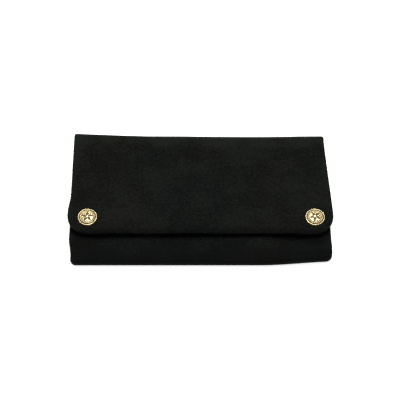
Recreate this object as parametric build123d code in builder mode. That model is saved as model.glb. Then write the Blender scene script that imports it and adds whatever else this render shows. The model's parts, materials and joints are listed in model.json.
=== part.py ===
"""A folding dice tray of black suede, folded in three and snapped shut.

One sheet of two bonded layers makes five strips: the base, a short front panel folded up over it,
a long flap folded down from the back over both, and the two narrow folds that join them.
Two domed caps close the flap onto the front panel. Four small press snaps, set in the lining
only, hold the tray's pinched corners when it stands open.

Frame: +X across the width, +Y to the back, +Z up, origin under the middle of the base.
"""

from build123d import *
import os

os.makedirs("parts", exist_ok=True)

# Sheet, in millimetres
SHEET_WIDTH = 206.0
FOLDED_DEPTH = 120.5
FLAP_LENGTH = 97.2
FRONT_LENGTH = 56.0
OUTER_THICKNESS = 1.2
LINING_THICKNESS = 1.0
INNER_GAP = 3.0  # between the base and the front panel
CLOSURE_GAP = 3.4  # between the front panel and the flap, held open by the snaps

# Outlines
FLAP_FLARE = 2.5  # the flap's front corners stand wider than the body by this, each side
FLARE_START = 20.0  # distance from the back fold where the flap begins to widen
FLAP_CORNER_RADIUS = 16.0
FRONT_CORNER_RADIUS = 5.0

# Closure snaps
SNAP_X = 90.0
SNAP_FROM_FRONT = 37.85
CAP_RADIUS = 7.75
CAP_HEIGHT = 1.8
CAP_RIM_HEIGHT = 0.4
CAP_SHELL = 0.5
CAP_TUBE_TOP = 0.95  # the tube meets the dome at this share of its inner height
SNAP_RADIUS = 6.3
SNAP_PLATE = 0.5
SNAP_TUBE_RADIUS = 1.7
SNAP_HEAD_RADIUS = 2.9
SNAP_SOCKET_HEIGHT = 2.5
SNAP_STUD_HEIGHT = 2.6
SNAP_POST_RADIUS = 5.0

# Corner snaps of the tray
CORNER_NEAR = 11.0  # from the nearer edge of the sheet
CORNER_FAR = 33.0  # from the other edge
CORNER_RADIUS = 5.0
CORNER_PLATE = 0.4
CORNER_TUBE_RADIUS = 1.3
CORNER_HEAD_RADIUS = 2.2
CORNER_SOCKET_HEIGHT = 2.3
CORNER_STUD_HEIGHT = 2.4
CORNER_POST_RADIUS = 4.5

# Fits inside every snap
TUBE_WALL = 0.6
SOCKET_SHOULDER = 0.55  # the drum starts to narrow at this share of its height
SOCKET_TOP = 0.78  # the drum's radius at its open end, as a share of its radius at the leather
NECK_STEP = 0.4  # the stud's neck is thinner than its head by this, in radius
HEAD_HEIGHT = 0.7
HEAD_BEVEL = 0.25
MOUTH_CLEARANCE = 0.2
WIRE_RADIUS = 0.3
WIRE_FROM_NECK = 0.15
WIRE_GROOVE_CLEARANCE = 0.05
WIRE_COVER = 0.3  # metal between a corner socket's wire and its open end
SPRING_GAP_DEGREES = 40.0

# Heights and lines that follow
SHEET_THICKNESS = OUTER_THICKNESS + LINING_THICKNESS
BACK_LINE = FOLDED_DEPTH / 2
FRONT_LINE = -FOLDED_DEPTH / 2
FRONT_TOP = SHEET_THICKNESS + INNER_GAP + SHEET_THICKNESS
FRONT_BOTTOM = FRONT_TOP - SHEET_THICKNESS
FLAP_TOP = FRONT_TOP + CLOSURE_GAP + SHEET_THICKNESS
FLAP_BOTTOM = FLAP_TOP - SHEET_THICKNESS
FLAP_EDGE = BACK_LINE - FLAP_LENGTH
FRONT_EDGE = FRONT_LINE + FRONT_LENGTH
SNAP_Y = FRONT_LINE + SNAP_FROM_FRONT
HALF_WIDTH = SHEET_WIDTH / 2
FLAP_HALF_WIDTH = HALF_WIDTH + FLAP_FLARE

# Each strip's section runs along its plane's x, with depth into the sheet along its y
BASE_PLANE = Plane(origin=(0, FRONT_LINE, 0), x_dir=(0, 1, 0), z_dir=(1, 0, 0))
BACK_FOLD_PLANE = Plane(origin=(0, BACK_LINE, 0), x_dir=(0, 0, 1), z_dir=(1, 0, 0))
FLAP_PLANE = Plane(origin=(0, BACK_LINE, FLAP_TOP), x_dir=(0, -1, 0), z_dir=(1, 0, 0))
FRONT_FOLD_PLANE = Plane(origin=(0, FRONT_LINE, 0), x_dir=(0, 0, 1), z_dir=(-1, 0, 0))
FRONT_PLANE = Plane(origin=(0, FRONT_LINE, FRONT_TOP), x_dir=(0, 1, 0), z_dir=(-1, 0, 0))

# Where the corner snaps sit, on the right-hand side of each panel
CORNER_SOCKET_X = HALF_WIDTH - CORNER_NEAR
CORNER_STUD_X = HALF_WIDTH - CORNER_FAR
FLAP_SOCKET_Y = FLAP_EDGE + CORNER_FAR
FLAP_STUD_Y = FLAP_EDGE + CORNER_NEAR
FRONT_SOCKET_Y = FRONT_EDGE - CORNER_FAR
FRONT_STUD_Y = FRONT_EDGE - CORNER_NEAR


def save(piece, name):
    """Label a finished part and write its STEP file."""
    piece.label = name
    export_step(piece, f"parts/{name}.step")


def strip(plane, length, near, far, half_width, free_end=False):
    """One layer of a strip, from depth near to depth far, mitred at each crease."""
    mitre = 0 if free_end else 1
    with BuildPart() as layer:
        with BuildSketch(plane):
            with BuildLine():
                Polyline(
                    (near, near),
                    (length - mitre * near, near),
                    (length - mitre * far, far),
                    (far, far),
                    close=True,
                )
            make_face()
        extrude(amount=half_width, both=True)
    return layer.part


def flap_outline():
    """The flap from above: straight sides, a slow flare to the snaps and round front corners."""
    corner_y = FLAP_EDGE + FLAP_CORNER_RADIUS
    flare_y = BACK_LINE - FLARE_START
    with BuildSketch() as outline:
        with BuildLine():
            fold = Line((0, BACK_LINE), (HALF_WIDTH, BACK_LINE))
            side = Line(fold @ 1, (HALF_WIDTH, flare_y))
            flare = Spline(
                side @ 1,
                (FLAP_HALF_WIDTH, corner_y),
                tangents=[(0, -1), (0, -1)],
            )
            corner = JernArc(flare @ 1, (0, -1), FLAP_CORNER_RADIUS, -90)
            Line(corner @ 1, (0, FLAP_EDGE))
            mirror(about=Plane.YZ)
        make_face()
    return outline.sketch


def punch(part, places, radius):
    """Cut round vertical holes through a layer."""
    with BuildPart() as holed:
        add(part)
        with BuildSketch():
            with Locations(*places):
                Circle(radius)
        extrude(amount=FLAP_TOP, mode=Mode.SUBTRACT)
    return holed.part


def pocket(part, places, radius, floor, depth):
    """Sink round pockets from height floor upwards, by depth."""
    with BuildPart() as sunk:
        add(part)
        with BuildSketch(Plane.XY.offset(floor)):
            with Locations(*places):
                Circle(radius)
        extrude(amount=depth, mode=Mode.SUBTRACT)
    return sunk.part


def both_sides(x, y):
    """The same place on the right and on the left."""
    return [(x, y), (-x, y)]


def flap_layer(near, far):
    """One layer of the flap, cut to its flared outline and punched for the closure snaps."""
    with BuildPart() as layer:
        add(strip(FLAP_PLANE, FLAP_LENGTH, near, far, FLAP_HALF_WIDTH, free_end=True))
        add(flap_outline())
        extrude(amount=FLAP_TOP, mode=Mode.INTERSECT)
    return punch(layer.part, closure_places, SNAP_TUBE_RADIUS)


def front_layer(near, far):
    """One layer of the front panel, with rounded free corners, punched for the closure snaps."""
    with BuildPart() as layer:
        add(strip(FRONT_PLANE, FRONT_LENGTH, near, far, HALF_WIDTH, free_end=True))
        free_corners = layer.edges().filter_by(Axis.Z).group_by(Axis.Y)[-1]
        fillet(free_corners, FRONT_CORNER_RADIUS)
    return punch(layer.part, closure_places, SNAP_TUBE_RADIUS)


def turned(points):
    """Revolve a half section, given as (radius, height) points, about the local Z axis."""
    with BuildPart() as body:
        with BuildSketch(Plane.XZ):
            with BuildLine():
                Polyline(*points, close=True)
            make_face()
        revolve(axis=Axis.Z)
    return body.part


def cap():
    """A domed cap with a rolled rim, and the tube that passes down through the flap."""
    tube_end = -(SHEET_THICKNESS + SNAP_PLATE)
    inside_top = CAP_HEIGHT - CAP_SHELL
    tube_bore = SNAP_TUBE_RADIUS - TUBE_WALL
    with BuildPart() as dome:
        with BuildSketch(Plane.XZ):
            with BuildLine():
                rim = Line((CAP_RADIUS - CAP_SHELL, 0), (CAP_RADIUS, 0))
                wall = Line(rim @ 1, (CAP_RADIUS, CAP_RIM_HEIGHT))
                crown = TangentArc((0, CAP_HEIGHT), wall @ 1, tangent=(1, 0))
                Line(crown @ 0, (0, inside_top))
                lid = Line((0, inside_top), (tube_bore, inside_top))
                bore = Line(lid @ 1, (tube_bore, tube_end))
                end = Line(bore @ 1, (SNAP_TUBE_RADIUS, tube_end))
                tube = Line(end @ 1, (SNAP_TUBE_RADIUS, inside_top * CAP_TUBE_TOP))
                Line(tube @ 1, rim @ 0)
            make_face()
        revolve(axis=Axis.Z)
    return dome.part


def socket(radius, plate, height, tube_radius, head_radius, spring_height):
    """A press socket: a drum with a plate on the leather, a mouth, and a groove for its spring."""
    mouth = head_radius + MOUTH_CLEARANCE
    groove = head_radius - NECK_STEP + WIRE_FROM_NECK + 2 * WIRE_RADIUS + 2 * MOUTH_CLEARANCE
    groove_half = WIRE_RADIUS + WIRE_GROOVE_CLEARANCE
    return turned(
        [
            (tube_radius, 0),
            (radius, 0),
            (radius, height * SOCKET_SHOULDER),
            (radius * SOCKET_TOP, height),
            (mouth, height),
            (mouth, spring_height + groove_half),
            (groove, spring_height + groove_half),
            (groove, spring_height - groove_half),
            (mouth, spring_height - groove_half),
            (mouth, plate),
            (tube_radius, plate),
        ]
    )


def stud(radius, plate, height, tube_radius, head_radius):
    """A press stud: a flange on the leather, a neck and a rounded head, bored for its post."""
    neck = head_radius - NECK_STEP
    head_bottom = height - HEAD_HEIGHT
    return turned(
        [
            (tube_radius, 0),
            (radius, 0),
            (radius, plate),
            (neck, plate),
            (neck, head_bottom),
            (head_radius, head_bottom + HEAD_BEVEL),
            (head_radius, height - HEAD_BEVEL),
            (head_radius - HEAD_BEVEL, height),
            (0, height),
            (0, head_bottom),
            (tube_radius, head_bottom),
        ]
    )


def post(radius, plate, tube_radius, tube_length):
    """The back half of a snap: a flat flange with a tube up through the leather."""
    return turned(
        [
            (0, -plate),
            (radius, -plate),
            (radius, 0),
            (tube_radius, 0),
            (tube_radius, tube_length),
            (tube_radius - TUBE_WALL, tube_length),
            (tube_radius - TUBE_WALL, 0),
            (0, 0),
        ]
    )


def spring(head_radius):
    """A split wire ring that grips the stud's neck."""
    ring_radius = head_radius - NECK_STEP + WIRE_FROM_NECK + WIRE_RADIUS
    with BuildPart() as ring:
        with BuildLine() as path:
            CenterArc((0, 0), ring_radius, SPRING_GAP_DEGREES / 2, 360 - SPRING_GAP_DEGREES)
        with BuildSketch(Plane(origin=path.line @ 0, z_dir=path.line % 0)):
            Circle(WIRE_RADIUS)
        sweep()
    return ring.part


def place(shape, places, height, facing_down=False):
    """Copies of a shape at places (x, y), standing on height or hanging from it."""
    turn = (180, 0, 0) if facing_down else (0, 0, 0)
    with BuildPart() as group:
        with Locations(*[Location((x, y, height), turn) for x, y in places]):
            add(shape)
    return group.part


closure_places = both_sides(SNAP_X, SNAP_Y)
flap_socket_places = both_sides(CORNER_SOCKET_X, FLAP_SOCKET_Y)
flap_stud_places = both_sides(CORNER_STUD_X, FLAP_STUD_Y)
front_socket_places = both_sides(CORNER_SOCKET_X, FRONT_SOCKET_Y)
front_stud_places = both_sides(CORNER_STUD_X, FRONT_STUD_Y)
flap_corner_places = flap_socket_places + flap_stud_places
front_corner_places = front_socket_places + front_stud_places

# The sheet: an outer layer and a lining in each of its five strips
plain_strips = [
    ("base", BASE_PLANE, FOLDED_DEPTH),
    ("back_fold", BACK_FOLD_PLANE, FLAP_TOP),
    ("front_fold", FRONT_FOLD_PLANE, FRONT_TOP),
]
for name, plane, length in plain_strips:
    save(strip(plane, length, 0, OUTER_THICKNESS, HALF_WIDTH), f"{name}_outer")
    save(strip(plane, length, OUTER_THICKNESS, SHEET_THICKNESS, HALF_WIDTH), f"{name}_lining")

flap_bond = FLAP_TOP - OUTER_THICKNESS
flap_outer = flap_layer(0, OUTER_THICKNESS)
flap_outer = pocket(flap_outer, flap_corner_places, CORNER_POST_RADIUS, flap_bond, CORNER_PLATE)
flap_lining = flap_layer(OUTER_THICKNESS, SHEET_THICKNESS)
flap_lining = punch(flap_lining, flap_corner_places, CORNER_TUBE_RADIUS)
save(flap_outer, "flap_outer")
save(flap_lining, "flap_lining")

front_bond = FRONT_TOP - OUTER_THICKNESS
front_outer = front_layer(0, OUTER_THICKNESS)
front_outer = pocket(front_outer, front_corner_places, CORNER_POST_RADIUS, front_bond, CORNER_PLATE)
front_lining = front_layer(OUTER_THICKNESS, SHEET_THICKNESS)
front_lining = punch(front_lining, front_corner_places, CORNER_TUBE_RADIUS)
save(front_outer, "front_outer")
save(front_lining, "front_lining")

# Closure snaps: cap, socket and spring on the flap, stud and post on the front panel
closure_cap = cap()
closure_wire_z = FRONT_TOP + SNAP_STUD_HEIGHT - HEAD_HEIGHT - WIRE_RADIUS - WIRE_GROOVE_CLEARANCE
closure_socket = socket(
    SNAP_RADIUS,
    SNAP_PLATE,
    SNAP_SOCKET_HEIGHT,
    SNAP_TUBE_RADIUS,
    SNAP_HEAD_RADIUS,
    FLAP_BOTTOM - closure_wire_z,
)
closure_stud = stud(
    SNAP_RADIUS, SNAP_PLATE, SNAP_STUD_HEIGHT, SNAP_TUBE_RADIUS, SNAP_HEAD_RADIUS
)
closure_post = post(
    SNAP_POST_RADIUS,
    SNAP_PLATE,
    SNAP_TUBE_RADIUS,
    SHEET_THICKNESS + SNAP_STUD_HEIGHT - HEAD_HEIGHT,
)
closure_spring = spring(SNAP_HEAD_RADIUS)
for side, where in zip(("right", "left"), closure_places):
    save(place(closure_cap, [where], FLAP_TOP), f"{side}_snap_cap")
    save(place(closure_socket, [where], FLAP_BOTTOM, facing_down=True), f"{side}_snap_socket")
    save(place(closure_spring, [where], closure_wire_z), f"{side}_snap_spring")
    save(place(closure_stud, [where], FRONT_TOP), f"{side}_snap_stud")
    save(place(closure_post, [where], FRONT_BOTTOM), f"{side}_snap_post")

# Corner snaps: each has a post hidden between the layers and a face on the lining, looking down
corner_wire_depth = CORNER_SOCKET_HEIGHT - WIRE_RADIUS - WIRE_COVER
corner_socket = socket(
    CORNER_RADIUS,
    CORNER_PLATE,
    CORNER_SOCKET_HEIGHT,
    CORNER_TUBE_RADIUS,
    CORNER_HEAD_RADIUS,
    corner_wire_depth,
)
corner_stud = stud(
    CORNER_RADIUS, CORNER_PLATE, CORNER_STUD_HEIGHT, CORNER_TUBE_RADIUS, CORNER_HEAD_RADIUS
)
corner_stud_post = post(
    CORNER_POST_RADIUS,
    CORNER_PLATE,
    CORNER_TUBE_RADIUS,
    LINING_THICKNESS + CORNER_STUD_HEIGHT - HEAD_HEIGHT,
)
corner_socket_post = post(
    CORNER_POST_RADIUS, CORNER_PLATE, CORNER_TUBE_RADIUS, LINING_THICKNESS + CORNER_PLATE
)
corner_spring = spring(CORNER_HEAD_RADIUS)
corner_panels = [
    ("flap", FLAP_BOTTOM, flap_bond, flap_stud_places, flap_socket_places),
    ("front", FRONT_BOTTOM, front_bond, front_stud_places, front_socket_places),
]
for panel, face, bond, stud_places, socket_places in corner_panels:
    wire_z = face - corner_wire_depth
    save(place(corner_stud, stud_places, face, facing_down=True), f"{panel}_corner_studs")
    save(place(corner_stud_post, stud_places, bond, facing_down=True), f"{panel}_stud_posts")
    save(place(corner_socket, socket_places, face, facing_down=True), f"{panel}_corner_sockets")
    save(place(corner_socket_post, socket_places, bond, facing_down=True), f"{panel}_socket_posts")
    save(place(corner_spring, socket_places, wire_z), f"{panel}_corner_springs")
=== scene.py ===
"""The looks of a folding dice tray: black suede folded in three, with embossed brass snap caps.

Lengths below are in millimetres in the row frame, and become metres when a mesh is made.
The suede is one sheet. A point on it is (x, s, depth): x across, s along the sheet from the front
panel's free edge to the flap's edge, and depth from the outer face to the lining's face.
"""

import json
import math

import bpy
import numpy as np
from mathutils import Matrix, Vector


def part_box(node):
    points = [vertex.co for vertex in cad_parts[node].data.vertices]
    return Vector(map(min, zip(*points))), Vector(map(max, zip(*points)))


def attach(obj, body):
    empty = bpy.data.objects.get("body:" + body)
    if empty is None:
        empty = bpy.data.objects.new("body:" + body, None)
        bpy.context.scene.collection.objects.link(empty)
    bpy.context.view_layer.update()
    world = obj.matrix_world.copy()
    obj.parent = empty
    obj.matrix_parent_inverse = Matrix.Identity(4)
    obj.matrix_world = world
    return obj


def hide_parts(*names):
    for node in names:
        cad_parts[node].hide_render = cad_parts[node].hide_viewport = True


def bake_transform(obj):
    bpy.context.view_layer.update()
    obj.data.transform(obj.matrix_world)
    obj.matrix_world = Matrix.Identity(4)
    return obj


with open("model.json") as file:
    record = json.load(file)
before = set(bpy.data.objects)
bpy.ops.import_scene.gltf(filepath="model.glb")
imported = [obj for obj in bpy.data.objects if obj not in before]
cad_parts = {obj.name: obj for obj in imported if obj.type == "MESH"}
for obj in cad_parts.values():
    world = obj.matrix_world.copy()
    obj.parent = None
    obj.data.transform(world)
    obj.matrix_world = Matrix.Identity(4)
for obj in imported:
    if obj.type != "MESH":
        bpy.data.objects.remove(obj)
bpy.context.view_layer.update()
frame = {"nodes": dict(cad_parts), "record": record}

MM = 0.001


def box_mm(node):
    """A CAD node's lowest and highest corners, in millimetres."""
    low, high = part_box(node)
    return np.array(low) / MM, np.array(high) / MM


# ---------------------------------------------------------------- sizes read from the frame

BASE_LOW, BASE_HIGH = box_mm("base_outer")
FLAP_LOW, FLAP_HIGH = box_mm("flap_outer")
_, FRONT_HIGH = box_mm("front_outer")
LINING_LOW, _ = box_mm("flap_lining")
BACK_Y, FRONT_Y = BASE_HIGH[1], BASE_LOW[1]
FLAP_Z, FRONT_Z = FLAP_HIGH[2], FRONT_HIGH[2]
THICKNESS = FLAP_Z - LINING_LOW[2]
BOND_DEPTH = FLAP_Z - FLAP_LOW[2]  # where the outer layer meets the lining
FLAP_EDGE_Y, FREE_EDGE_Y = FLAP_LOW[1], FRONT_HIGH[1]

CAP_BOXES = {side: box_mm(f"{side}_snap_cap") for side in ("left", "right")}
SNAPS = {side: (low + high) / 2 for side, (low, high) in CAP_BOXES.items()}
CAP_LOW, CAP_HIGH = CAP_BOXES["right"]
CAP_RADIUS = (CAP_HIGH[0] - CAP_LOW[0]) / 2
CAP_HEIGHT = CAP_HIGH[2] - FLAP_Z


def pair_middles(node):
    """The middles of a node's right and left solids, which are round and alike."""
    low, high = box_mm(node)
    radius = (high[1] - low[1]) / 2
    return [(end, (low[1] + high[1]) / 2) for end in (high[0] - radius, low[0] + radius)]


SNAP_MIDDLES = [tuple(middle[:2]) for middle in SNAPS.values()]
FLAP_FIXINGS = SNAP_MIDDLES + pair_middles("flap_stud_posts") + pair_middles("flap_socket_posts")
FRONT_FIXINGS = SNAP_MIDDLES + pair_middles("front_stud_posts") + pair_middles("front_socket_posts")

# ---------------------------------------------------------------- the sheet's line, seen from its side

# Radii of the outer face at the folds
FRONT_BEND = 3.2
BACK_FOOT_BEND = 3.0
BACK_BEND = 4.6

LEGS = [
    ("straight", FREE_EDGE_Y - FRONT_Y - FRONT_BEND),
    ("turn", FRONT_BEND),
    ("straight", FRONT_Z - 2 * FRONT_BEND),
    ("turn", FRONT_BEND),
    ("straight", BACK_Y - FRONT_Y - FRONT_BEND - BACK_FOOT_BEND),
    ("turn", BACK_FOOT_BEND),
    ("straight", FLAP_Z - BACK_BEND - BACK_FOOT_BEND),
    ("turn", BACK_BEND),
    ("straight", BACK_Y - FLAP_EDGE_Y - BACK_BEND),
]


def leg_length(leg):
    """A leg's length along the outer face."""
    kind, size = leg
    return size if kind == "straight" else size * math.pi / 2


LEG_STARTS = np.concatenate([[0], np.cumsum([leg_length(leg) for leg in LEGS])])
FRONT_END = LEG_STARTS[1]  # the end of the front panel's flat part
FRONT_FOLD_MIDDLE = (LEG_STARTS[2] + LEG_STARTS[3]) / 2
BASE_START = LEG_STARTS[4]
BASE_END = LEG_STARTS[5]
BACK_FOLD_MIDDLE = (LEG_STARTS[6] + LEG_STARTS[7]) / 2
FLAP_START = LEG_STARTS[8]
SHEET_LENGTH = LEG_STARTS[-1]


def outer_line(s):
    """Where the outer face lies at s: y, z and the direction into the sheet."""
    y, z = np.zeros_like(s), np.zeros_like(s)
    heading_at = np.zeros_like(s)
    at_y, at_z, heading = FREE_EDGE_Y, FRONT_Z, math.pi
    for i, (kind, size) in enumerate(LEGS):
        leg_start, leg_end = LEG_STARTS[i], LEG_STARTS[i + 1]
        here = ((s >= leg_start) | (i == 0)) & ((s < leg_end) | (i == len(LEGS) - 1))
        t = s[here] - leg_start
        if kind == "straight":
            run = leg_length((kind, size))
            y[here] = at_y + t * math.cos(heading)
            z[here] = at_z + t * math.sin(heading)
            heading_at[here] = heading
            at_y, at_z = at_y + run * math.cos(heading), at_z + run * math.sin(heading)
        else:
            middle_y, middle_z = at_y - size * math.sin(heading), at_z + size * math.cos(heading)
            turned = heading + t / size
            y[here] = middle_y + size * np.sin(turned)
            z[here] = middle_z - size * np.cos(turned)
            heading_at[here] = turned
            heading += math.pi / 2
            at_y, at_z = middle_y + size * math.sin(heading), middle_z - size * math.cos(heading)
    return y, z, -np.sin(heading_at), np.cos(heading_at)


# ---------------------------------------------------------------- smooth shapes


def ease(t):
    """0 to 1, smoothly."""
    t = np.clip(t, 0, 1)
    return t * t * (3 - 2 * t)


def rise(value, start, end):
    """0 at the start and before it, 1 at the end and after it; the end may be the lower number."""
    return ease((value - start) / (end - start))


def bell(offset, width):
    """1 where the offset is 0, falling to 0 a few widths away."""
    return np.exp(-((offset / width) ** 2))


def across_slant(x, y, place, slant):
    """How far a point is across the slanting line through a place."""
    return (x - place[0]) * slant[0] + (y - place[1]) * slant[1]


def spot(x, y, place, reach):
    """1 at the place, falling to 0 a few reaches away, with a reach for each direction."""
    return bell(x - place[0], reach[0]) * bell(y - place[1], reach[1])


def ripples(x, s, wavelength, seed, count=9):
    """A smooth random surface of about unit height."""
    rng = np.random.default_rng(seed)
    total = np.zeros_like(x)
    for _ in range(count):
        angle, phase = rng.uniform(0, 2 * math.pi, 2)
        k = 2 * math.pi / (wavelength * rng.uniform(0.7, 1.4))
        total += np.cos(k * (x * math.cos(angle) + s * math.sin(angle)) + phase)
    return total / math.sqrt(count)


# ---------------------------------------------------------------- the sheet's outline

# How far the sheet reaches to each side of the middle: s and reach
LEFT_EDGE = [
    (0, 103.8),
    (FRONT_END - 18, 104.4),
    (FRONT_END - 2, 102.4),
    (BASE_START + 12, 103.0),
    (BASE_END, 103.9),
    (SHEET_LENGTH - 30, 104.1),
    (SHEET_LENGTH, 103.6),
]
RIGHT_EDGE = [
    (0, 102.2),
    (FRONT_END - 28, 102.3),
    (FRONT_END - 6, 102.9),
    (BASE_START + 12, 102.4),
    (BASE_END - 30, 102.2),
    (BASE_END, 101.3),
    (FLAP_START, 100.0),
    (SHEET_LENGTH - 18, 104.6),
    (SHEET_LENGTH, 104.4),
]
LEFT_FLARE = 2.0  # the flap's left side flares out towards the front, over this stretch of y
FLARE_STRETCH = (-1.0, -19.0)
FLAP_CORNER = 16.0
FREE_CORNER = 5.0


def half_widths(s):
    """How far the sheet reaches to the left and to the right, without its rounded corners."""
    y, _, _, _ = outer_line(s)
    left = np.interp(s, *zip(*LEFT_EDGE))
    right = np.interp(s, *zip(*RIGHT_EDGE))
    flare = rise(y, *FLARE_STRETCH) * (s > FLAP_START)
    return left + LEFT_FLARE * flare, right


def corner_inset(to_end, radius):
    """How far a rounded corner draws the side in, at a distance from the cut end."""
    into = np.clip(radius - to_end, 0, radius)
    return radius - np.sqrt(radius**2 - into**2)


# The flap's cut front edge: how far it is drawn back, the stretches of x over which that sets in
# from either corner, its wobble, a shallow notch and the right corner, which lies a little forward
EDGE_DRAWN_BACK = 0.85
FROM_LEFT_CORNER, FROM_RIGHT_CORNER = (-80, -68), (82, 68)
EDGE_WOBBLE, EDGE_WOBBLE_LENGTH, EDGE_SEED, EDGE_WAVES = 0.10, 13, 11, 5
EDGE_NOTCH, EDGE_NOTCH_X, EDGE_NOTCH_REACH = 0.3, 43, 12
RIGHT_FORWARD, RIGHT_FORWARD_STRETCH = 0.25, (70, 90)


def flap_edge_wave(x):
    """The flap's cut front edge isn't quite straight: it is drawn back between its corners."""
    between = rise(x, *FROM_LEFT_CORNER) * rise(x, *FROM_RIGHT_CORNER)
    wobble = EDGE_WOBBLE * ripples(x, np.zeros_like(x), EDGE_WOBBLE_LENGTH, EDGE_SEED, EDGE_WAVES)
    notch = EDGE_NOTCH * bell(x - EDGE_NOTCH_X, EDGE_NOTCH_REACH)
    forward = RIGHT_FORWARD * rise(x, *RIGHT_FORWARD_STRETCH)
    return between * (EDGE_DRAWN_BACK + wobble) + notch - forward


# ---------------------------------------------------------------- the folds, which lie askew

# Where each fold's rounded ends are and their radii, left and right
BACK_FOLD_ENDS, BACK_FOLD_CORNERS = (103.9, 100.5), (1.6, 2.8)
FRONT_FOLD_ENDS, FRONT_FOLD_CORNERS = (102.2, 102.8), (3.7, 5.4)
CORNER_TURN = 0.98  # the share of a corner's radius that is used, short of its upright end

BACK_BOW, BACK_BOW_X = 3.6, 45.0  # the back fold lies farthest in front of the CAD's line here
BACK_BOW_FALL, BACK_BOW_RUN = (4.0, 1.5), (147, 55)  # how it falls off to the left and right
FRONT_BOW, FRONT_BOW_STRETCH = 3.6, (45, 110)
LOW_BOW_FROM = 3.0  # only the part of the back fold's bow above this reaches its foot
FRONT_PRESS = 0.10  # the share of its height that the stack loses at the front fold

# The stretches over which the stack is pressed, the bows reach a fold, and the flap's wave its edge
PRESS_STRETCH = (FRONT_Y + 17, FRONT_Y - 3)
FRONT_FOLD_STRETCH = (FRONT_Y + 24, FRONT_Y + 2)
BACK_FOLD_STRETCH = (5, BACK_Y - 3)
BACK_FOLD_HEIGHTS = (FLAP_Z / 2, FLAP_Z / 2 + 3.5)
WAVE_STRETCH = (SHEET_LENGTH - 14, SHEET_LENGTH)


def rounding_at_ends(x, ends, radii):
    """How far a fold is drawn in at its two ends, which are rounded seen from above."""
    radius = np.where(x < 0, *radii)
    into = np.clip(np.abs(x) - np.where(x < 0, *ends) + radius, 0, CORNER_TURN * radius)
    return radius - np.sqrt(radius**2 - into**2)


def back_bow(x):
    """How far in front of the CAD's back line the fold really lies."""
    from_middle = x - BACK_BOW_X
    fall = np.where(from_middle < 0, *BACK_BOW_FALL)
    run = np.where(from_middle < 0, *BACK_BOW_RUN)
    line = BACK_BOW - fall * (from_middle / run) ** 2
    return line + rounding_at_ends(x, BACK_FOLD_ENDS, BACK_FOLD_CORNERS)


def front_bow(x):
    """How far behind the CAD's front line the front fold lies, whose right end is drawn back."""
    line = FRONT_BOW * rise(x, *FRONT_BOW_STRETCH)
    return line + rounding_at_ends(x, FRONT_FOLD_ENDS, FRONT_FOLD_CORNERS)


def front_press(y):
    """The stack is pressed flatter towards the front fold."""
    return 1 - FRONT_PRESS * rise(y, *PRESS_STRETCH)


# ---------------------------------------------------------------- hollows, creases and the curled edge

ROLLING = [(0.30, 85, 3), (0.12, 30, 5), (0.035, 9, 7)]  # height, wavelength and seed
FRONT_ROLLING, BASE_ROLLING = 0.8, 0.2  # the share of it on the other panels
FLAP_CALM_REACH, FRONT_CALM_REACH = 11.0, 9.0  # the fixings hold the leather flat this far
FLAP_HOLLOW = 0.9
FLAP_SAG, FLAP_SAG_HALF_WIDTH = 0.5, 95
FRONT_SINK = 1.2
FRONT_DIP, FRONT_DIP_PLACE, FRONT_DIP_REACH = 0.9, (84, -38), (20, 9)

# The stretches of s over which these set in; the hollow's and the sag's count from the back fold
ON_FLAP = (FLAP_START, FLAP_START + 12)
ON_FRONT = (FRONT_END - 4, FRONT_END - 14)
ON_BASE_FRONT, ON_BASE_BACK = (BASE_START, BASE_START + 10), (BASE_END, BASE_END - 10)
HOLLOW_START, HOLLOW_END = (0, 25), (78, 38)
SAG_START = (50, 80)
CURL_STRETCH = (SHEET_LENGTH - 15, SHEET_LENGTH - 1)

# The way across a slanting crease: x and y
FLAP_SLANT = (0.62, 0.78)
FRONT_SLANT = (0.75, 0.66)
FLAP_CREASE_PLACE = (78, 8)
FLAP_CREASE_MIDDLE, FLAP_CREASE_REACH = (72, 5), (22, 24)
FRONT_CREASE_Y = -50
FRONT_CREASE_STRETCH = (-42, -47)
FLAP_CREASES = [(0.25, 0, 3.2), (0.20, 13, 2.6)]  # height, distance before the first and width
FRONT_CREASES = [(0.22, -64, 1.6), (0.26, -9, 1.9), (0.16, -16, 1.3), (0.2, 36, 1.8)]  # height, x, width

# The curl of the flap's cut edge, and what is added to it in the middle
CURL, MORE_CURL = 1.1, 1.1
CURL_RUN, MORE_CURL_RUN = 4.6, 2.4
CURL_X, CURL_REACH = 18, 48


def near_places(places, x, y, reach):
    """1 at the places, falling to 0 a few reaches away."""
    total = np.zeros_like(x)
    for place in places:
        total += spot(x, y, place, (reach, reach))
    return np.clip(total, 0, 1)


def flap_creases(x, y):
    """Two slanting soft creases near the flap's right side."""
    line = across_slant(x, y, FLAP_CREASE_PLACE, FLAP_SLANT)
    total = sum(height * bell(line + before, width) for height, before, width in FLAP_CREASES)
    return total * spot(x, y, FLAP_CREASE_MIDDLE, FLAP_CREASE_REACH)


def front_creases(x, y):
    """Slanting soft creases on the front panel, below the flap's edge."""
    total = np.zeros_like(x)
    for height, place_x, width in FRONT_CREASES:
        line = across_slant(x, y, (place_x, FRONT_CREASE_Y), FRONT_SLANT)
        total += height * bell(line, width)
    return total * rise(y, *FRONT_CREASE_STRETCH)


def edge_droop(x, s):
    """The flap's last few millimetres curl down, most of all in the middle."""
    left, right = half_widths(s)
    to_end = SHEET_LENGTH - s
    to_side = np.where(x < 0, left + x, right - x)
    into_end = np.clip(FLAP_CORNER - to_end, 0, None)
    into_side = np.clip(FLAP_CORNER - to_side, 0, None)
    in_corner = (into_end > 0) & (into_side > 0)
    from_cut = np.where(in_corner, FLAP_CORNER - np.hypot(into_end, into_side), to_end)
    middle = bell(x - CURL_X, CURL_REACH)
    curl = ease(1 - np.clip(from_cut, 0, None) / (CURL_RUN + MORE_CURL_RUN * middle))
    return (CURL + MORE_CURL * middle) * curl * rise(s, *CURL_STRETCH)


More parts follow.
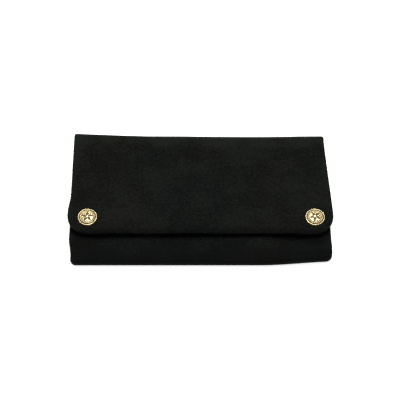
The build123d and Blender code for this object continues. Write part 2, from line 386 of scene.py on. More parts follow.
def sink(x, y, s):
    """How far the sheet lies below its plain place, into the stack."""
    rolling = sum(height * ripples(x, s, wavelength, seed) for height, wavelength, seed in ROLLING)
    from_back = s - FLAP_START
    hollow = FLAP_HOLLOW * rise(from_back, *HOLLOW_START) * rise(from_back, *HOLLOW_END)
    across = np.cos(np.clip(x / FLAP_SAG_HALF_WIDTH, -1, 1) * math.pi / 2)
    sag = FLAP_SAG * across * rise(from_back, *SAG_START)
    flap_calm = 1 - near_places(FLAP_FIXINGS, x, y, FLAP_CALM_REACH)
    flap = flap_calm * (hollow + sag + rolling) + flap_creases(x, y) + edge_droop(x, s)
    dip = FRONT_DIP * spot(x, y, FRONT_DIP_PLACE, FRONT_DIP_REACH)
    front_calm = 1 - near_places(FRONT_FIXINGS, x, y, FRONT_CALM_REACH)
    front = front_calm * (FRONT_ROLLING * rolling + FRONT_SINK + dip) + front_creases(x, y)
    on_base = rise(s, *ON_BASE_FRONT) * rise(s, *ON_BASE_BACK)
    return rise(s, *ON_FLAP) * flap + rise(s, *ON_FRONT) * front + on_base * BASE_ROLLING * rolling


def sheet_points(x, s, depth):
    """Points of the sheet in the row frame, in millimetres."""
    y, z, into_y, into_z = outer_line(s)
    deep = depth + sink(x, y, s)
    y, z = y + into_y * deep, (z + into_z * deep) * front_press(y)
    bow = back_bow(x)
    low_bow = np.clip(bow - LOW_BOW_FROM, 0, None)
    back_shift = low_bow + (bow - low_bow) * rise(z, *BACK_FOLD_HEIGHTS)
    back_share = rise(y, *BACK_FOLD_STRETCH)
    front_share = rise(y, *FRONT_FOLD_STRETCH)
    edge_share = rise(s, *WAVE_STRETCH)
    y = y - back_shift * back_share + front_bow(x) * front_share + flap_edge_wave(x) * edge_share
    return np.stack([x, y, np.maximum(z, 0)], axis=-1)


# ---------------------------------------------------------------- where the brushed face is lighter or darker

# Soft spots: x, y, reach and change
TONE_SPOTS = [
    (-58, -11, 15, 0.22), (-79, -16, 10, 0.12), (-44, -27, 12, 0.12), (76, 12, 10, 0.22),
    (68, 0, 9, 0.12), (50, -28, 16, 0.12), (-32, -41, 14, 0.14), (40, -40, 14, 0.12),
    (-92, 40, 14, 0.12), (10, 24, 14, -0.16), (83, 30, 9, -0.30), (-79, 36, 13, -0.10),
    (93, -42, 9, -0.30), (-50, -54, 22, -0.16), (-92, -5, 12, -0.10), (60, -20, 12, -0.10),
    (-100, 58, 9, 0.35), (22, 57, 20, 0.30), (80, 56, 15, 0.28), (-52, 56, 24, -0.20),
]
WARM_SPOTS = [
    (-98, 25, 24, 0.50), (-84, -12, 26, 0.60), (-55, 60, 24, 0.35), (25, 60, 40, 0.35),
    (88, 60, 22, 0.45), (82, -10, 22, 0.30), (-15, 25, 30, -0.25), (12, -5, 32, -0.20),
    (-62, -52, 34, -0.35), (0, -53, 40, -0.45), (92, -52, 20, -0.30),
]

# Fine slanting streaks: x, y, half length, half width and change
STREAKS = [
    (72, 14, 16, 1.8, 0.20), (84, 4, 14, 1.8, 0.20), (88, 14, 12, 1.8, 0.20),
    (-58, -51, 6, 0.7, 0.45), (-53, -50, 7, 0.6, 0.50), (-49, -52, 6, 0.7, 0.40),
    (-44, -51, 5, 0.6, 0.35), (-8, -50, 6, 0.8, 0.35), (2, -49, 7, 0.7, 0.45),
    (8, -52, 5, 0.6, 0.40), (16, -48, 6, 0.7, 0.35), (-30, -47, 5, 0.7, 0.30),
]

# The sides are rubbed lighter: width and change
LEFT_RUB, RIGHT_RUB = (4.5, 0.34), (3.0, 0.30)


def on_panel(place_y, s):
    """Whether s is on the panel that shows at place_y: the flap, or the front panel below its edge."""
    return s > FLAP_START if place_y > FLAP_EDGE_Y - 2 else s < FRONT_END + 2


def spotted(spots, x, s):
    """The sum of soft spots at each point of the sheet."""
    y, _, _, _ = outer_line(s)
    total = np.zeros_like(x)
    for place_x, place_y, reach, change in spots:
        total += on_panel(place_y, s) * change * spot(x, y, (place_x, place_y), (reach, reach))
    return total


def tone(x, s):
    """Lighter and darker places of the brushed face."""
    y, _, _, _ = outer_line(s)
    slant_x, slant_y = FLAP_SLANT
    total = spotted(TONE_SPOTS, x, s)
    for place_x, place_y, length, width, change in STREAKS:
        across = across_slant(x, y, (place_x, place_y), FLAP_SLANT)
        along = across_slant(x, y, (place_x, place_y), (slant_y, -slant_x))
        total += on_panel(place_y, s) * change * bell(along, length) * bell(across, width)
    left, right = half_widths(s)
    total += LEFT_RUB[1] * bell(left + x, LEFT_RUB[0])
    total += RIGHT_RUB[1] * bell(right - x, RIGHT_RUB[0])
    return total


# ---------------------------------------------------------------- meshes

PITCH = 1.5  # between stations on a panel
BEND_PITCH = 0.55  # between stations along a bend
LONGEST_BEND = 30
TO_CUT = [0.0, 0.12, 0.3, 0.55, 0.9]  # distances from a cut edge of the stations near it
CORNER_ROWS = 22
USUAL_HALF_WIDTH = 103.0
NO_CUT = 1000.0  # stands for the distance to a cut edge where there is none
EDGE_ROUND = 0.45  # radius of a raw edge at the faces
BOND_ROUND_SHARE = 0.25  # how much of it is left at the line between the layers

FIBRES_PER_MM = 7.0
FIBRE_LENGTH, SHORTEST_FIBRE = 0.6, 0.4
FIBRE_WIDTH = 0.10
FIBRE_ROOT = 0.3  # how far inside the edge a fibre starts
FIBRE_MARGIN = 0.15  # and how far from the faces
FIBRE_LIFT_SHARE = 0.7
FIBRE_FACES = [(0, 2, 1), (0, 1, 3), (1, 2, 3), (2, 0, 3)]
PANEL_FIBRE_SPREAD, BEND_FIBRE_SPREAD = 0.5, 0.1


def steps(start, end, pitch, fine_start=False, fine_end=False):
    """Stations from start to end, closer together towards a cut edge."""
    low = [start + f for f in TO_CUT] if fine_start else [start]
    high = [end - f for f in reversed(TO_CUT)] if fine_end else [end]
    count = max(1, round((high[0] - low[-1]) / pitch))
    middle = np.linspace(low[-1], high[0], count + 1)
    return np.concatenate([low[:-1], middle, high[1:]])


def column_shares():
    """Stations across the sheet, from -1 at its left edge to 1 at its right, closer at the edges."""
    half = steps(0.0, USUAL_HALF_WIDTH, PITCH, fine_end=True) / USUAL_HALF_WIDTH
    return np.concatenate([-half[:0:-1], half])


def corner_rows(s_rows, corner_start, end):
    """Replace the rows round a corner by rows at even angles, so that its arc is smooth."""
    angles = np.linspace(0, math.pi / 2, CORNER_ROWS)
    arc = corner_start + (end - corner_start) * np.sin(angles)
    return np.concatenate([s_rows[s_rows < corner_start - PITCH / 3], arc])


def grid_faces(index, flip):
    """Quads over a grid of vertex numbers."""
    a, b = index[:-1, :-1].ravel(), index[1:, :-1].ravel()
    c, d = index[1:, 1:].ravel(), index[:-1, 1:].ravel()
    order = (a, b, c, d) if flip else (a, d, c, b)
    return list(zip(*(column.tolist() for column in order)))


def add_mesh(name, points, faces, sharp=None, attributes=None):
    """A mesh object from points in millimetres."""
    mesh = bpy.data.meshes.new(name)
    mesh.from_pydata((points * MM).tolist(), [], faces)
    mesh.update(calc_edges=True)
    mesh.polygons.foreach_set("use_smooth", [True] * len(mesh.polygons))
    if sharp is not None:
        edges = np.empty(len(mesh.edges) * 2, int)
        mesh.edges.foreach_get("vertices", edges)
        is_sharp = sharp[edges.reshape(-1, 2)].all(axis=1)
        mesh.attributes.new("sharp_edge", "BOOLEAN", "EDGE").data.foreach_set("value", is_sharp)
    for label, values in (attributes or {}).items():
        kind, key = ("FLOAT_VECTOR", "vector") if values.ndim == 2 else ("FLOAT", "value")
        field = mesh.attributes.new(label, kind, "POINT").data
        field.foreach_set(key, values.astype(np.float32).ravel())
    obj = bpy.data.objects.new(name, mesh)
    bpy.context.scene.collection.objects.link(obj)
    return obj


def flat_grid(s_start, s_end):
    """A grid of (x, s) over one piece of the flat sheet, and each point's distance from a raw edge."""
    cut_start, cut_end = s_start <= 0, s_end >= SHEET_LENGTH
    pitch = PITCH if s_end - s_start > LONGEST_BEND else BEND_PITCH
    s_rows = steps(s_start, s_end, pitch, cut_start, cut_end)
    if cut_end:
        s_rows = corner_rows(s_rows, s_end - FLAP_CORNER, s_end)
    to_end = np.full(len(s_rows), NO_CUT)
    if cut_start:
        to_end = s_rows - s_start
    if cut_end:
        to_end = s_end - s_rows
    inset = corner_inset(to_end, FLAP_CORNER if cut_end else FREE_CORNER)
    left, right = half_widths(s_rows)
    shares = column_shares()
    reach = np.where(shares[None, :] < 0, (left - inset)[:, None], (right - inset)[:, None])
    x = shares[None, :] * reach
    s = np.repeat(s_rows[:, None], len(shares), axis=1)
    from_edge = np.minimum(reach - np.abs(x), to_end[:, None])
    return x, s, from_edge


def sheet_piece(name, s_start, s_end, upper, lower):
    """One closed piece of one layer, between two stations along the sheet and two depths."""
    x, s, from_edge = flat_grid(s_start, s_end)
    over = np.clip(EDGE_ROUND - from_edge, 0, EDGE_ROUND)
    rounding = EDGE_ROUND - np.sqrt(EDGE_ROUND**2 - over**2)
    upper_share = 1.0 if upper == 0 else BOND_ROUND_SHARE
    lower_share = 1.0 if lower == THICKNESS else BOND_ROUND_SHARE
    skins = [(x, s, upper + upper_share * rounding), (x, s, lower - lower_share * rounding)]
    points = np.concatenate([sheet_points(*skin).reshape(-1, 3) for skin in skins])
    on_sheet = np.concatenate([np.stack(skin, axis=-1).reshape(-1, 3) for skin in skins]) * MM
    rows, columns = x.shape
    below = rows * columns
    index = np.arange(below).reshape(rows, columns)
    faces = grid_faces(index, flip=False) + grid_faces(index + below, flip=True)
    rim = np.concatenate([index[0, :], index[1:, -1], index[-1, -2::-1], index[-2:0:-1, 0]])
    pairs = zip(rim.tolist(), np.roll(rim, -1).tolist())
    faces += [(b, a, a + below, b + below) for a, b in pairs]
    seam = np.zeros(2 * below, bool)
    for row, joins in ((0, s_start > 0), (-1, s_end < SHEET_LENGTH)):
        if joins:
            seam[index[row]] = True
            seam[index[row] + below] = True
    attributes = {"sheet": on_sheet}
    for label, field in (("tone", tone(x, s)), ("warmth", spotted(WARM_SPOTS, x, s))):
        attributes[label] = np.concatenate([field.ravel() * (upper == 0)] * 2)
    return add_mesh(name, points, faces, sharp=seam, attributes=attributes)


def raw_edges(s_start, s_end):
    """A piece's raw edges as lines of (x, s), each run with the sheet on its right."""
    x, s, _ = flat_grid(s_start, s_end)
    left = np.stack([x[:, 0], s[:, 0]], axis=1)
    right = np.stack([x[::-1, -1], s[::-1, -1]], axis=1)
    if s_end >= SHEET_LENGTH:
        return [np.concatenate([left, np.stack([x[-1], s[-1]], axis=1)[1:-1], right])]
    if s_start <= 0:
        return [np.concatenate([right, np.stack([x[0], s[0]], axis=1)[-2:0:-1], left])]
    return [left, right]


def edge_fibres(name, s_start, s_end, seed, spread):
    """The short fibres that stand out of a raw suede edge, each a thin closed sliver."""
    rng = np.random.default_rng(seed)
    deeper = np.array([0.0, 0.0, 1.0])
    corners = []
    for line in raw_edges(s_start, s_end):
        lengths = np.hypot(*np.diff(line, axis=0).T)
        run = np.concatenate([[0], np.cumsum(lengths)])
        count = int(run[-1] * FIBRES_PER_MM)
        at = rng.uniform(0, run[-1], count)
        part = np.clip(np.searchsorted(run, at) - 1, 0, len(lengths) - 1)
        along = np.diff(line, axis=0)[part] / lengths[part][:, None]
        out = np.stack([-along[:, 1], along[:, 0]], axis=1)
        root = line[part] + along * (at - run[part])[:, None] - FIBRE_ROOT * out
        root = np.column_stack([root, rng.uniform(FIBRE_MARGIN, THICKNESS - FIBRE_MARGIN, count)])
        along = np.column_stack([along, np.zeros(count)])
        out = np.column_stack([out, np.zeros(count)])
        length = FIBRE_LENGTH * rng.uniform(0.3, 1.0, count) ** 2 + SHORTEST_FIBRE
        lean = rng.normal(0, spread, count)
        lift = rng.normal(0, FIBRE_LIFT_SHARE * spread, count)
        tip = root + length[:, None] * (out + along * lean[:, None] + deeper * lift[:, None])
        half = along * FIBRE_WIDTH / 2
        corners.append(np.stack([root + half, root - half, root + deeper * FIBRE_WIDTH, tip], axis=1))
    corners = np.concatenate(corners).reshape(-1, 3)
    points = sheet_points(*corners.T)
    firsts = range(0, len(corners), 4)
    faces = [(k + a, k + b, k + c) for k in firsts for a, b, c in FIBRE_FACES]
    return add_mesh(name, points, faces, attributes={"sheet": corners * MM})


# ---------------------------------------------------------------- materials


class Nodes:
    """A short way to write a node material."""

    def __init__(self, name):
        self.material = bpy.data.materials.new(name)
        self.material.use_nodes = True
        self.tree = self.material.node_tree
        self.shader = self.tree.nodes["Principled BSDF"]

    def add(self, kind, inputs=(), **settings):
        node = self.tree.nodes.new(kind)
        for key, value in settings.items():
            setattr(node, key, value)
        for key, value in dict(inputs).items():
            self.set(node, key, value)
        return node

    def set(self, node, key, value):
        if isinstance(value, bpy.types.NodeSocket):
            self.tree.links.new(value, node.inputs[key])
        else:
            node.inputs[key].default_value = value

    def finish(self, **inputs):
        """Set the shader's inputs, named with underscores for spaces."""
        for key, value in inputs.items():
            self.set(self.shader, key.replace("_", " "), value)

    def attribute(self, name):
        """A mesh attribute's number at each point."""
        return self.add("ShaderNodeAttribute", attribute_name=name).outputs["Fac"]

    def mix(self, factor, first, second):
        node = self.add("ShaderNodeMix", data_type="RGBA", inputs={0: factor, 6: first, 7: second})
        return node.outputs[2]

    def math(self, operation, first, second=0.0):
        return self.add("ShaderNodeMath", operation=operation, inputs={0: first, 1: second}).outputs[0]

    def total(self, *terms):
        """The sum of several numbers."""
        result = terms[0]
        for term in terms[1:]:
            result = self.math("ADD", result, term)
        return result

    def product(self, first, second):
        return self.math("MULTIPLY", first, second)

    def difference(self, first, second):
        return self.math("SUBTRACT", first, second)

    def away_from(self, value, place):
        """How far a number is from a place."""
        return self.math("ABSOLUTE", self.difference(value, place))

    def ramp(self, value, low, high, to_low=0.0, to_high=1.0):
        inputs = {0: value, 1: low, 2: high, 3: to_low, 4: to_high}
        return self.add("ShaderNodeMapRange", inputs=inputs, interpolation_type="SMOOTHSTEP").outputs[0]

    def noise(self, where, scale, detail, roughness=0.5):
        inputs = {"Vector": where, "Scale": scale, "Detail": detail, "Roughness": roughness}
        return self.add("ShaderNodeTexNoise", inputs=inputs).outputs["Fac"]

    def bump(self, height, strength, distance):
        inputs = {"Strength": strength, "Distance": distance, "Height": height}
        return self.add("ShaderNodeBump", inputs=inputs).outputs[0]


# The patterns of the nap: size in millimetres, detail and roughness
NAP_PATTERNS = {
    "tint": (38, 3, 0.55),
    "clouds": (24, 4, 0.55),
    # the patches of the painted highlight on the back fold
    "fold_light": (20, 3, 0.55),
    # the patches of the painted shade along the flap's edge
    "rim": (9, 2, 0.55),
    "patches": (7.0, 4, 0.55),
    "nap": (2.1, 6, 0.85),
    "fibres": (1.1, 4, 0.8),
}
FIBRE_STRETCH = (1.0, 0.45, 1.0)
CLOUD_CONTRAST, PATCH_CONTRAST = 0.36, 0.12
NAP_RELIEF, PATCH_RELIEF, FIBRE_RELIEF = 0.8, 0.5, 0.5  # shares of the bump's distance
# The raw cut edges' colour: their black dye, darkened further as painted shade; it also colours the painted
# shade along the flap's rim
RAW_EDGE_AND_SHADE = (0.0010, 0.0010, 0.0012, 1)
SHEEN = 0.03
SHEEN_TINT = (0.86, 0.9, 0.82, 1)
# The back fold gets a painted highlight and the front fold painted shade: place along the sheet, how far from
# it the change is whole and where it ends, in metres, and its strength
LIT_BACK_FOLD = (LEG_STARTS[7] + 4.0) * MM, 0.003, 0.014, 1.5
SHADED_FRONT_FOLD = (LEG_STARTS[2] + 1.0) * MM, 0.004, 0.034, 0.78
# Painted shade darkens the flap's curled edge from here to here, and each raw edge, dark from its dye and
# from painted shade, over these depths
SHADED_RIM_FROM, SHADED_RIM_TO = (SHEET_LENGTH - 4.0) * MM, (SHEET_LENGTH - 0.4) * MM
OUTER_RAW_FROM, OUTER_RAW_TO = 0.00015, 0.00050
LINING_RAW_FROM, LINING_RAW_TO = (THICKNESS - 0.5) * MM, (THICKNESS - 0.15) * MM


def suede(name, dark, pale_nap, outside):
    """Brushed split leather: clouded nap, short fibres, a dull sheen, painted light on the folds and the
    flap's edge, and a raw edge dark from its dye and from painted shade.
    """
    n = Nodes(name)
    where = n.add("ShaderNodeAttribute", attribute_name="sheet").outputs["Vector"]
    split = n.add("ShaderNodeSeparateXYZ", inputs={0: where})
    along, depth = split.outputs["Y"], split.outputs["Z"]
    stretched = n.add("ShaderNodeMapping", inputs={"Vector": where, "Scale": FIBRE_STRETCH}).outputs[0]

    def pattern(label, vector=where):
        size, detail, roughness = NAP_PATTERNS[label]
        return n.noise(vector, 1 / (size * MM), detail, roughness)

    def fold(place, whole_to, end, strength):
        return n.ramp(n.away_from(along, place), whole_to, end, to_low=strength, to_high=0.0)

    clouds = n.ramp(pattern("clouds"), 0.30, 0.70)
    patches = n.ramp(pattern("patches"), 0.30, 0.70)
    nap = pattern("nap")
    fibres = pattern("fibres", stretched)
    # patches for the painted highlight on the back fold
    patchy_fold_light = n.ramp(pattern("fold_light"), 0.35, 0.65, to_low=0.15)
    light = n.total(
        n.product(clouds, CLOUD_CONTRAST),
        n.product(patches, PATCH_CONTRAST),
        n.ramp(nap, 0.34, 0.68, to_low=-0.50, to_high=0.94),
        n.ramp(fibres, 0.60, 0.70, to_high=0.75),
        # painted highlight along the back fold, where it turns towards the back lamp
        n.product(fold(*LIT_BACK_FOLD), patchy_fold_light),
    )
    # painted shade towards the front fold, where the front panel curves away from the lamps; then the tone
    # spots
    light = n.total(n.difference(light, fold(*SHADED_FRONT_FOLD)), n.attribute("tone"))
    tint = n.ramp(pattern("tint"), 0.36, 0.64, to_low=0.25, to_high=0.80)
    tint = n.difference(tint, n.attribute("warmth"))
    colour = n.mix(light, n.mix(tint, *dark), n.mix(tint, *pale_nap))
    # painted shade along the flap's curled front edge, in uneven patches
    rim = n.ramp(along, SHADED_RIM_FROM, SHADED_RIM_TO, to_high=0.85)
    rim = n.product(rim, n.ramp(pattern("rim"), 0.3, 0.6, to_low=0.45))
    # the raw edges, dark from their dye and from painted shade
    if outside:
        raw_and_shaded_edge = n.ramp(depth, OUTER_RAW_FROM, OUTER_RAW_TO)
    else:
        raw_and_shaded_edge = n.ramp(depth, LINING_RAW_FROM, LINING_RAW_TO, to_low=1.0, to_high=0.0)
    sheen = n.product(n.ramp(nap, 0.3, 0.7, to_low=0.6, to_high=1.4), SHEEN)
    height = n.total(
        n.product(nap, NAP_RELIEF), n.product(patches, PATCH_RELIEF), n.product(fibres, FIBRE_RELIEF)
    )
    n.finish(
        Base_Color=n.mix(raw_and_shaded_edge, n.mix(rim, colour, RAW_EDGE_AND_SHADE), RAW_EDGE_AND_SHADE),
        Roughness=n.ramp(clouds, 0, 1, to_low=0.98, to_high=0.88),
        Specular_IOR_Level=0.05,
        Sheen_Weight=n.product(n.difference(1.0, raw_and_shaded_edge), sheen),
        Sheen_Roughness=0.5,
        Sheen_Tint=SHEEN_TINT,
        Normal=n.bump(height, strength=0.75, distance=0.0006),
    )
    return n.material


MOTTLE_SCALE, SCRATCH_SCALE = 900.0, 4200.0
AGED_ROUGHER = 0.22


def brass(name, bright, patina, roughness, use_patina=False):
    """Plated brass, brown where the polish doesn't reach."""
    n = Nodes(name)
    where = n.add("ShaderNodeTexCoord").outputs["Object"]
    mottle = n.noise(where, MOTTLE_SCALE, detail=4.0, roughness=0.6)
    scratches = n.noise(where, SCRATCH_SCALE, detail=2.0)
    age = n.ramp(mottle, 0.50, 0.80, to_high=0.22)
    if use_patina:
        age = n.math("MAXIMUM", age, n.attribute("patina"))
    n.finish(
        Base_Color=n.mix(age, bright, patina),
        Metallic=n.ramp(age, 0, 1, to_low=1.0, to_high=0.15),
        Specular_IOR_Level=n.ramp(age, 0, 1, to_low=0.5, to_high=0.08),
        Roughness=n.ramp(age, 0, 1, to_low=roughness, to_high=roughness + AGED_ROUGHER),
        Normal=n.bump(scratches, strength=0.05, distance=0.0001),
    )
    return n.material


MATERIALS = {
    "outer_suede": suede(
        "outer_suede",
        dark=((0.0021, 0.0023, 0.0017, 1), (0.0016, 0.0021, 0.0020, 1)),
        pale_nap=((0.0071, 0.0077, 0.0059, 1), (0.0062, 0.0074, 0.0067, 1)),
        outside=True,
    ),
    "lining_suede": suede(
        "lining_suede",
        dark=((0.0030, 0.0030, 0.0028, 1), (0.0026, 0.0028, 0.0029, 1)),
        pale_nap=((0.0086, 0.0088, 0.0082, 1), (0.0083, 0.0088, 0.0086, 1)),
        outside=False,
    ),
    "cap_brass": brass(
        "cap_brass",
        bright=(0.78, 0.65, 0.37, 1),
        patina=(0.100, 0.069, 0.024, 1),
        roughness=0.19,
        use_patina=True,
    ),
    "snap_brass": brass(
        "snap_brass", bright=(0.66, 0.54, 0.29, 1), patina=(0.30, 0.20, 0.08, 1), roughness=0.30
    ),
    "spring_wire": brass(
        "spring_wire", bright=(0.56, 0.57, 0.58, 1), patina=(0.30, 0.30, 0.30, 1), roughness=0.25
    ),
}


# ---------------------------------------------------------------- the suede sheet

BEND_MARGIN = 5.0  # flat sheet beyond a bend that still belongs to its piece
CUTS = [
    0,
    FRONT_END - BEND_MARGIN,
    FRONT_FOLD_MIDDLE,
    BASE_START + BEND_MARGIN,
    BASE_END - BEND_MARGIN,
    BACK_FOLD_MIDDLE,
    FLAP_START + BEND_MARGIN,
    SHEET_LENGTH,
]
PIECE_LABELS = [
    "front", "front_fold_top", "front_fold_foot", "base", "back_fold_foot", "back_fold_top", "flap"
]
SHEET_NODES = ["front", "front_fold", "front_fold", "base", "back_fold", "back_fold", "flap"]
RIDERS = {0: "front_panel", 3: "base", 6: "flap"}
FIRST_FIBRE_SEED = 20


def join_body(piece, i):
    """A panel rides its body, and a bend stays where it is, its transform baked into its mesh."""
    if i in RIDERS:
        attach(piece, RIDERS[i])
    else:
        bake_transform(piece)


def build_sheet():
    """Seven pieces for each layer: three panels, and two bends for each fold."""
    for layer, upper, lower in (("outer", 0.0, BOND_DEPTH), ("lining", BOND_DEPTH, THICKNESS)):
        for i, label in enumerate(PIECE_LABELS):
            start, end = CUTS[i], CUTS[i + 1]
            piece = sheet_piece(f"{label}_{layer}_suede", start, end, upper, lower)
            piece.data.materials.append(MATERIALS[f"{layer}_suede"])
            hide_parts(f"{SHEET_NODES[i]}_{layer}")
            join_body(piece, i)
    for i, label in enumerate(PIECE_LABELS):
        spread = PANEL_FIBRE_SPREAD if i in RIDERS else BEND_FIBRE_SPREAD
        fibres = edge_fibres(f"{label}_edge_fibres", CUTS[i], CUTS[i + 1], FIRST_FIBRE_SEED + i, spread)
        fibres.data.materials.append(MATERIALS["outer_suede"])
        join_body(fibres, i)


# ---------------------------------------------------------------- the caps

RINGS, SPOKES, LOBES = 72, 180, 5
RING_CROWDING = 0.85  # below 1, the rings are closer together towards the rim
CENTRE_RADIUS = 0.02  # a small flat face closes the middle
CAP_TURNS = {"left": 0.5, "right": 1.25}  # how far round each motif sits
PETAL_TWIST = 0.45

# Heights and depths of the face
DOME_FOOT = 0.42
DOME_POWER = 0.9
CAP_ALLOWANCE = 0.62  # what the dome leaves of the cap's height
FACE_DROP = 0.22
PETAL_HEIGHT = 0.28
BOSS_HEIGHT = 0.16
RIM_FOOT = 0.45
LINE_CUT, LEAF_CUT, MOAT_CUT, DEEPEST_CUT = 0.36, 0.16, 0.14, 0.4
# Two grooves and two ridges round the field: depth, place and width as shares of the radius
RING_CUTS = [(0.24, 0.65, 0.050), (0.46, 0.82, 0.085), (-0.10, 0.735, 0.035), (-0.24, 0.93, 0.045)]
# How brown the grooves are: a cut this deep is wholly brown, then the two grooves and the rim's foot
BROWN_CUT = 0.17
RING_BROWN = (1.1, 1.4)
FOOT_BROWN = 0.6

# Widths and places, in millimetres or as shares of the cap's radius
FIELD_SHARE, FIELD_EDGE = 0.60, 0.05
LINE_WIDTH, LINE_FROM, LINE_FADE = 0.62, 1.0, 0.6
LEAF_SHARE, LEAF_RADIUS, LEAF_WIDTH = 0.42, 0.95, 0.24
BOSS_WIDTH = 0.9
MOAT_RADIUS, MOAT_WIDTH = 1.3, 0.26
FOOT_STRETCH, FOOT_BROWN_STRETCH = (0.965, 1.0), (0.97, 1.0)

# The tube below a cap: outer and inner radius, the hole's depth and the cap's open underside
TUBE, BORE, BORE_DEPTH = 1.7, 1.1, 1.0
CAP_WALL, UNDERSIDE = 0.5, -0.02
UNDERSIDE_BROWN = 0.6


def cap_relief(radius, angle):
    """Height of the embossed face above the flap, and how brown each point is."""
    share = radius / CAP_RADIUS
    dome = DOME_FOOT + (CAP_HEIGHT - CAP_ALLOWANCE) * (1 - share**2) ** DOME_POWER
    on_field = rise(share, FIELD_SHARE, FIELD_SHARE - FIELD_EDGE)
    twisted = angle + PETAL_TWIST * np.sin(share * math.pi)
    sector = np.mod(twisted, 2 * math.pi / LOBES) - math.pi / LOBES
    from_line = radius * np.sin(math.pi / LOBES - np.abs(sector))
    line = bell(from_line, LINE_WIDTH) * rise(radius, LINE_FROM, LINE_FROM + LINE_FADE)
    from_leaf = np.hypot(radius * np.sin(sector), radius * np.cos(sector) - CAP_RADIUS * LEAF_SHARE)
    leaf = bell(from_leaf - LEAF_RADIUS, LEAF_WIDTH)
    moat = bell(radius - MOAT_RADIUS, MOAT_WIDTH)
    petal = np.cos(np.clip(np.abs(sector) * LOBES / math.pi, 0, 1) * math.pi / 2) ** 2
    petal *= np.sin(np.clip(share / FIELD_SHARE, 0, 1) * math.pi)
    cuts = np.clip(LINE_CUT * line + LEAF_CUT * leaf + MOAT_CUT * moat, 0, DEEPEST_CUT) * on_field
    bands = [bell(share - at, width) for _, at, width in RING_CUTS]
    rings = sum(cut * band for (cut, _, _), band in zip(RING_CUTS, bands))
    raised = PETAL_HEIGHT * petal + BOSS_HEIGHT * bell(radius, BOSS_WIDTH)
    height = dome - FACE_DROP + raised - cuts - rings - RIM_FOOT * rise(share, *FOOT_STRETCH)
    brown = cuts / BROWN_CUT + RING_BROWN[0] * bands[0] + RING_BROWN[1] * bands[1]
    brown += FOOT_BROWN * rise(share, *FOOT_BROWN_STRETCH)
    return height, np.clip(brown, 0, 1)


def build_cap(side):
    """An embossed dome with a rolled rim, and the tube below it that goes through the flap."""
    tube_end = CAP_BOXES[side][0][2] - FLAP_Z
    radii = CAP_RADIUS * np.linspace(0, 1, RINGS) ** RING_CROWDING
    radii[0] = CENTRE_RADIUS
    angles = np.linspace(0, 2 * math.pi, SPOKES, endpoint=False)
    r, a = np.meshgrid(radii, angles, indexing="ij")
    height, brown = cap_relief(r, a + CAP_TURNS[side])
    underside = [
        (CAP_RADIUS, 0.0),
        (CAP_RADIUS - CAP_WALL, UNDERSIDE),
        (TUBE, UNDERSIDE),
        (TUBE, tube_end),
        (BORE, tube_end),
        (BORE, tube_end + BORE_DEPTH),
        (CENTRE_RADIUS, tube_end + BORE_DEPTH),
    ]
    for radius, level in underside:
        r = np.vstack([r, np.full(SPOKES, radius)])
        a = np.vstack([a, angles])
        height = np.vstack([height, np.full(SPOKES, level)])
        brown = np.vstack([brown, np.full(SPOKES, UNDERSIDE_BROWN)])
    middle = SNAPS[side]
    x, y = middle[0] + r * np.cos(a), middle[1] + r * np.sin(a)
    points = np.stack([x, y, FLAP_Z + height], axis=-1).reshape(-1, 3)
    index = np.arange(r.size).reshape(r.shape)
    index = np.concatenate([index, index[:, :1]], axis=1)
    faces = grid_faces(index, flip=True)
    faces.append(tuple(index[0, :-1].tolist()))
    faces.append(tuple(index[-1, -2::-1].tolist()))
    cap = add_mesh(f"{side}_cap_embossed", points, faces, attributes={"patina": brown.ravel()})
    cap.data.materials.append(MATERIALS["cap_brass"])
    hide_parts(f"{side}_snap_cap")
    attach(cap, "flap")


def finish_cad_nodes():
    """The snaps' hidden halves keep their CAD shape, in the same finishes."""
    for entry in frame["record"]["subparts"]:
        for held in frame["nodes"][entry["node"]].material_slots:
            held.link = "OBJECT"
            held.material = MATERIALS[entry["material_slot"]]


# ---------------------------------------------------------------- floor, light and camera, in metres

FLOOR_REACH = 6.0
FLOOR_Z = -0.0002  # just below the part, so that the two don't lie in one plane
FLOOR_GLOW = 0.80
WORLD_LIGHT = 0.30
# Name, place, size and watts
SOFTBOXES = [
    ("overhead", (0.03, 0.30, 1.20), 0.70, 15.0),
    ("back", (-0.10, 0.75, 1.00), 0.6, 8.0),
]

CAMERA_ELEVATION = math.radians(57.3)
CAMERA_DISTANCE = 1.19
CAMERA_TARGET = (0, -0.0009, 0)
CAMERA_LENS = 133.0
CAMERA_SHIFT = (-0.0031, 0.0078)


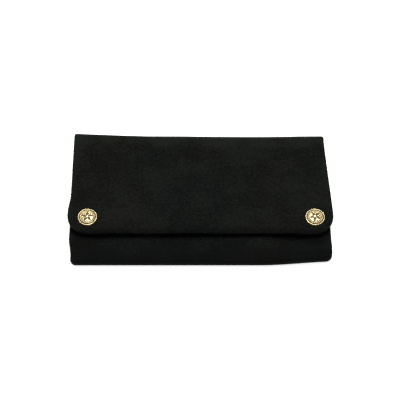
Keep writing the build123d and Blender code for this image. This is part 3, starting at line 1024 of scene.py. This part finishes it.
def point_at(obj, target):
    direction = Vector(target) - Vector(obj.location)
    obj.rotation_euler = direction.to_track_quat("-Z", "Y").to_euler()


def build_floor():
    """A pale floor that glows a little, since the ground round the part is pure white."""
    mesh = bpy.data.meshes.new("floor")
    sides = [(-1, -1), (1, -1), (1, 1), (-1, 1)]
    corners = [(FLOOR_REACH * x, FLOOR_REACH * y, FLOOR_Z) for x, y in sides]
    mesh.from_pydata(corners, [], [(0, 1, 2, 3)])
    floor = bpy.data.objects.new("floor", mesh)
    bpy.context.scene.collection.objects.link(floor)
    paper = Nodes("paper")
    paper.finish(
        Base_Color=(0.88, 0.88, 0.88, 1),
        Roughness=0.9,
        Specular_IOR_Level=0.1,
        Emission_Color=(1, 1, 1, 1),
        Emission_Strength=FLOOR_GLOW,
    )
    mesh.materials.append(paper.material)


def build_light():
    """An even white world and two soft lamps."""
    world = bpy.data.worlds.new("studio")
    world.use_nodes = True
    background = world.node_tree.nodes["Background"]
    background.inputs["Color"].default_value = (1, 1, 1, 1)
    background.inputs["Strength"].default_value = WORLD_LIGHT
    bpy.context.scene.world = world
    for name, place, size, power in SOFTBOXES:
        lamp = bpy.data.lights.new(name, "AREA")
        lamp.shape = "DISK"
        lamp.size = size
        lamp.energy = power
        obj = bpy.data.objects.new(name, lamp)
        obj.location = place
        point_at(obj, (0, 0, 0))
        bpy.context.scene.collection.objects.link(obj)


def build_camera():
    """The camera in front of the part, looking down on it."""
    camera = bpy.data.objects.new("camera", bpy.data.cameras.new("camera"))
    camera.data.lens = CAMERA_LENS
    camera.data.shift_x, camera.data.shift_y = CAMERA_SHIFT
    in_front = CAMERA_DISTANCE * math.cos(CAMERA_ELEVATION)
    above = CAMERA_DISTANCE * math.sin(CAMERA_ELEVATION)
    camera.location = (CAMERA_TARGET[0], CAMERA_TARGET[1] - in_front, above)
    point_at(camera, CAMERA_TARGET)
    bpy.context.scene.collection.objects.link(camera)
    bpy.context.scene.camera = camera
    bpy.context.scene.view_settings.view_transform = "Standard"


build_sheet()
for side in SNAPS:
    build_cap(side)
finish_cad_nodes()
build_floor()
build_light()
build_camera()
